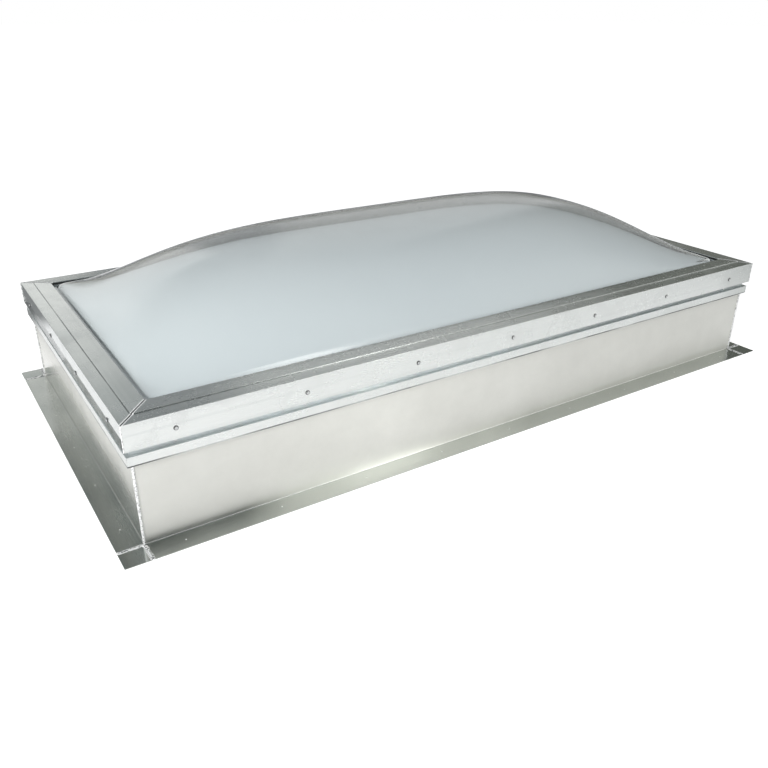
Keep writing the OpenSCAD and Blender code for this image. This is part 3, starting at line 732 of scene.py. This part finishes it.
def make_floor():
    """Pale ground, white to the eye; in metal it shows painted shade far off, a painted shadow patch behind
    the left end and a painted glow growing towards the right.
    """
    half, level = 60.0, -0.5 * MM
    corners = [(-half, -half, level), (half, -half, level), (half, half, level), (-half, half, level)]
    mesh = bpy.data.meshes.new("floor")
    mesh.from_pydata(corners, [], [(0, 1, 2, 3)])
    floor = bpy.data.objects.new("floor", mesh)
    bpy.context.scene.collection.objects.link(floor)
    s = Shader("floor")
    path = s.node("ShaderNodeLightPath")
    mirrored = path.outputs["Is Glossy Ray"]
    away = s.node("ShaderNodeVectorMath", {"operation": "LENGTH"}, _0=s.place).outputs["Value"]
    x = s.axis("X")
    # painted shadow seen only in metal: a dark patch behind the left end, and painted shade far off
    patch = s.math("MULTIPLY", s.remap(s.axis("Y"), 1.10, 1.28), s.remap(x, -1.0, -0.6, 1.0, 0.0))
    dark = s.math("MULTIPLY", s.math("MAXIMUM", s.remap(away, 1.9, 5.0), patch), mirrored)
    matte = s.node("ShaderNodeBsdfDiffuse", Color=s.mix(dark, (0.86, 0.86, 0.86, 1), (0.36, 0.37, 0.37, 1)))
    seen = s.math("MAXIMUM", path.outputs["Is Camera Ray"], path.outputs["Is Transmission Ray"])
    seen = s.math("MULTIPLY", seen, 0.62)
    # painted glow seen only in metal, brighter towards the right
    shine = s.math("SUBTRACT", mirrored, dark)
    shine = s.math("MULTIPLY", shine, s.remap(x, -1.8, 1.8, 0.36, 0.59))
    lift = s.node("ShaderNodeEmission", Strength=s.math("ADD", seen, shine))
    s.surface(s.node("ShaderNodeAddShader", _0=matte.outputs[0], _1=lift.outputs[0]))
    s.tree.nodes.remove(s.bsdf)
    mesh.materials.append(s.material)


def make_world():
    """White to the eye; soft grey light for matte surfaces; a studio of pale and dark screens for metal."""
    world = bpy.data.worlds.new("studio")
    world.use_nodes = True
    world.cycles.sampling_method = "NONE"
    bpy.context.scene.world = world
    s = Nodes(world.node_tree)

    def fade(value, low, high):
        return s.remap(value, low, high, shape="SMOOTHSTEP")

    way = s.node("ShaderNodeTexCoord").outputs["Generated"]
    x, y, z = s.node("ShaderNodeSeparateXYZ", Vector=way).outputs
    back_wall = s.ramp(z, [
        (0.00, (0.34, 0.34, 0.31)), (0.10, (0.50, 0.50, 0.47)), (0.19, (1.02, 1.03, 1.01)),
        (0.27, (1.06, 1.07, 1.05)), (0.34, (0.99, 1.00, 0.98)), (0.415, (0.87, 0.885, 0.87)),
        (0.448, (0.50, 0.53, 0.525)), (0.475, (0.22, 0.255, 0.26)), (0.58, (0.17, 0.20, 0.21)),
        (0.72, (0.185, 0.22, 0.23)), (1.00, (0.30, 0.31, 0.31)),
    ], "EASE")
    left_wall = s.ramp(z, [
        (0.00, (0.34, 0.34, 0.31)), (0.10, (0.50, 0.50, 0.47)), (0.19, (1.02, 1.03, 1.01)),
        (0.34, (0.95, 0.96, 0.94)), (0.400, (0.78, 0.80, 0.79)), (0.441, (0.54, 0.57, 0.565)),
        (0.476, (0.46, 0.49, 0.485)), (0.517, (0.28, 0.31, 0.31)), (0.58, (0.20, 0.23, 0.235)),
        (0.72, (0.185, 0.22, 0.23)), (1.00, (0.30, 0.31, 0.31)),
    ], "EASE")
    # once round the horizon: 0 and 1 in front of the long side, 0.5 behind it
    bearing = s.math("MULTIPLY_ADD", s.math("ARCTAN2", x, y), 0.5 / math.pi, 0.5)
    round_room = s.ramp(bearing, [
        (0.000, (0.18, 0.22, 0.23)), (0.050, (0.22, 0.26, 0.27)), (0.090, (2.00, 2.00, 1.94)),
        (0.150, (0.85, 0.86, 0.83)), (0.300, (0.50, 0.51, 0.50)), (0.370, (0.28, 0.30, 0.30)),
        (0.470, (0.26, 0.28, 0.28)), (0.535, (0.31, 0.33, 0.34)), (0.555, (0.26, 0.28, 0.29)),
        (0.572, (0.62, 0.64, 0.63)), (0.633, (0.63, 0.64, 0.63)), (0.650, (0.135, 0.145, 0.13)),
        (0.740, (0.14, 0.15, 0.135)), (0.800, (0.78, 0.79, 0.76)), (0.850, (0.82, 0.83, 0.80)),
        (0.882, (0.96, 0.97, 0.94)), (0.904, (1.50, 1.50, 1.46)), (0.915, (7.20, 7.20, 7.00)),
        (0.922, (6.60, 6.60, 6.40)), (0.930, (0.05, 0.07, 0.075)), (1.000, (0.03, 0.045, 0.05)),
    ], "EASE")
    round_room = s.mix(fade(z, 0.60, 0.85), round_room, (0.28, 0.295, 0.30, 1))
    haze = s.mix(fade(y, 0.1, -0.1), (0.20, 0.20, 0.18, 1), (0.50, 0.505, 0.50, 1))
    round_room = s.mix(fade(z, 0.22, 0.04), round_room, haze)
    behind = s.math("MULTIPLY", fade(bearing, 0.440, 0.466), fade(bearing, 0.538, 0.522))
    back_wall = s.mix(fade(bearing, 0.486, 0.506), left_wall, back_wall)
    shade = s.mix(behind, round_room, back_wall)
    path = s.node("ShaderNodeLightPath")
    light = s.mix(path.outputs["Is Glossy Ray"], (0.50, 0.507, 0.514, 1), shade)
    seen = s.math("MAXIMUM", path.outputs["Is Camera Ray"], path.outputs["Is Transmission Ray"])
    s.feed(s.tree.nodes["Background"].inputs["Color"], s.mix(seen, light, (1, 1, 1, 1)))


def axes_at(right, up, back, place):
    """The matrix with these axes at a place."""
    columns = np.stack([right, up, back, place], 1)
    return Matrix([*columns.tolist(), [0, 0, 0, 1]])


def make_lamp(name, place, aim, size, power):
    """A round soft lamp that no metal or acrylic shows."""
    data = bpy.data.lights.new(name, "AREA")
    data.shape = "DISK"
    data.size = size
    data.energy = power
    lamp = bpy.data.objects.new(name, data)
    bpy.context.scene.collection.objects.link(lamp)
    lamp.visible_glossy = False
    lamp.visible_transmission = False
    back = np.array(place, float) - np.array(aim, float)
    back /= np.linalg.norm(back)
    right = np.cross((0, 0, 1), back)
    right /= np.linalg.norm(right)
    lamp.matrix_world = axes_at(right, np.cross(back, right), back, place)


def make_camera():
    """A camera in front of the left end, looking down across the domes."""
    data = bpy.data.cameras.new("camera")
    data.sensor_width = 36.0
    data.lens = 36.3291
    data.clip_end = 200.0
    camera = bpy.data.objects.new("camera", data)
    bpy.context.scene.collection.objects.link(camera)
    right = (0.8405295, -0.5417340, 0.0058658)
    up = (0.2327795, 0.3709045, 0.8990237)
    back = (-0.4892073, -0.7542905, 0.4378608)
    place = (-1.586381, -2.319448, 1.269081)
    camera.matrix_world = axes_at(right, up, back, place)
    bpy.context.scene.camera = camera


make_floor()
make_world()
make_lamp("key", (-4.1, -2.8, 1.9), (0, 0, 0.3), 2.6, 173)
make_lamp("fill", (-4.2, 1.2, 1.7), (-0.6, 0, 0.3), 2.0, 17)
make_lamp("end_fill", (2.0, -3.4, 0.45), (0.9, -0.6, 0.1), 1.6, 11)
make_camera()
bpy.context.scene.view_settings.view_transform = "Standard"
